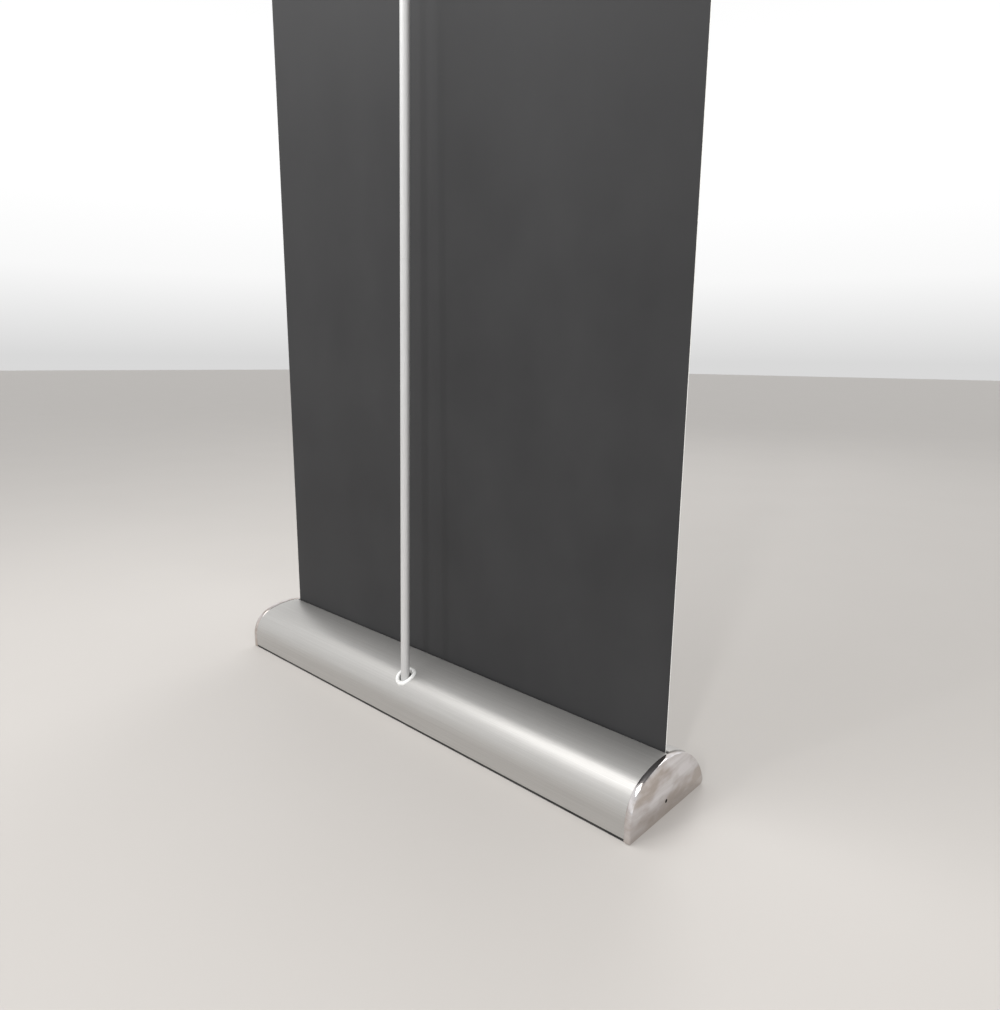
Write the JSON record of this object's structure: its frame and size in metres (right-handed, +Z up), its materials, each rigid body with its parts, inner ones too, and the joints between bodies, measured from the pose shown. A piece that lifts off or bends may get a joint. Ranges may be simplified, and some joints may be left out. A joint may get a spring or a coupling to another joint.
{
  "type": "roll-up banner stand",
  "caption": "Roll-up banner stand: a sheet wound on a sprung roller in a rounded aluminium base, held up by a rear pole and a clamp rail.",
  "frame": {"origin": "floor level, at the middle of the base", "axes": "+Z up, X along the base and the roller, -Y towards the printed side, +Y towards the pole"},
  "size_m": [0.88, 0.182, 2.0936],
  "materials": {
    "anodised_aluminium": "satin anodised, fine lengthwise grain",
    "mill_aluminium": "mill finish",
    "foot_rubber": "matt black",
    "felt": "black felt",
    "plated_cap": "polished plating",
    "plate_steel": "zinc plated",
    "screw_steel": "blackened",
    "axle_steel": "turned",
    "black_plastic": "fine moulded texture",
    "spring_steel": "oiled wire",
    "white_plastic": "smooth moulded",
    "bush_bronze": "sintered",
    "leader_tape": "adhesive film",
    "pole_aluminium": "satin silver",
    "banner_sheet": "matt charcoal block-out back, white front"
  },
  "bodies": {
    "base": {"rear_shell": "anodised_aluminium", "front_cover": "anodised_aluminium", "base_plate": "mill_aluminium", "foot_strip_front": "foot_rubber", "foot_strip_rear": "foot_rubber", "slot_felt_front": "felt", "slot_felt_rear": "felt", "end_cap_left": "plated_cap", "end_cap_right": "plated_cap", "bearing_plate_left": "plate_steel", "bearing_plate_right": "plate_steel", "bearing_screws_left": "screw_steel", "bearing_screws_right": "screw_steel", "stub_axle": "axle_steel", "spring_shaft": "axle_steel", "spring_hub": "black_plastic", "torsion_spring": "spring_steel", "pole_socket": "black_plastic", "socket_screws": "screw_steel", "grommet": "white_plastic"},
    "roller": {"roller_tube": "mill_aluminium", "roller_plug_left": "black_plastic", "roller_plug_right": "black_plastic", "bush_left": "bush_bronze", "bush_right": "bush_bronze", "spring_plug": "black_plastic", "leader_roll": "leader_tape"},
    "lower_pole": {"pole_foot": "black_plastic", "pole_tube_lower": "pole_aluminium", "spigot_lower": "mill_aluminium"},
    "middle_pole": {"pole_tube_middle": "pole_aluminium", "spigot_upper": "mill_aluminium"},
    "upper_pole": {"pole_tube_upper": "pole_aluminium", "pole_hook": "black_plastic"},
    "rail": {"banner": "banner_sheet", "rail_back": "anodised_aluminium", "rail_tape": "leader_tape", "rail_cap_left": "black_plastic", "rail_cap_right": "black_plastic"},
    "rail_clamp": {"rail_front": "anodised_aluminium", "rail_grip": "foot_rubber"}
  },
  "joints": [
    {"name": "roller_spin", "type": "hinge", "parent": "base", "child": "roller", "pos_m": [0, 0.01035, 0.034], "axis": [1, 0, 0], "range_deg": [-60, 6400]},
    {"name": "pole_lift", "type": "slide", "parent": "base", "child": "lower_pole", "axis": [0, -0.0201, 0.9998], "range_m": [0, 0.045]},
    {"name": "middle_pull", "type": "slide", "parent": "lower_pole", "child": "middle_pole", "axis": [0, -0.0201, 0.9998], "range_m": [0, 0.04]},
    {"name": "upper_pull", "type": "slide", "parent": "middle_pole", "child": "upper_pole", "axis": [0, -0.0201, 0.9998], "range_m": [0, 0.04]},
    {"name": "rail_travel", "type": "slide", "parent": "upper_pole", "child": "rail", "axis": [0, 0, 1], "range_m": [-1.98, 0.012], "deforming": ["banner"]},
    {"name": "clamp_open", "type": "hinge", "parent": "rail", "child": "rail_clamp", "pos_m": [0, -0.01, 2.08859], "axis": [-1, 0, 0], "range_deg": [0, 38]}
  ],
  "couplings": [
    {"joint": "roller_spin", "follows": "rail_travel", "rad_per_m": -56}
  ]
}
